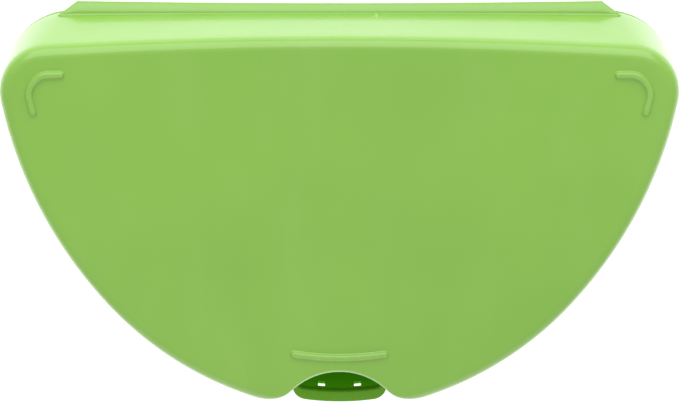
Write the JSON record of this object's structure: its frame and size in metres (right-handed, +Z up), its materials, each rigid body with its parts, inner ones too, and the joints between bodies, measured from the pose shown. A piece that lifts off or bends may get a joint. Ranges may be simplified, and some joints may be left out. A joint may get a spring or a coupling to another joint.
{
  "type": "covered sandbox",
  "caption": "D-shaped plastic play-sand tray with a front pull lip and a deep lift-off cover.",
  "frame": {"origin": "middle of the footprint at the surface that the box rests on", "axes": "+X along the straight back towards the right, +Y towards the straight back, +Z up"},
  "size_m": [0.6144, 0.3974, 0.1333],
  "materials": {
    "cover_plastic": "satin, fine moulded texture",
    "tray_plastic": "satin, fine moulded texture"
  },
  "bodies": {
    "tray": {"tray": "tray_plastic"},
    "cover": {"cover": "cover_plastic"}
  },
  "joints": [
    {"name": "cover_lift", "type": "slide", "parent": "tray", "child": "cover", "axis": [0, 0, 1], "range_m": [0, 0.15]}
  ]
}
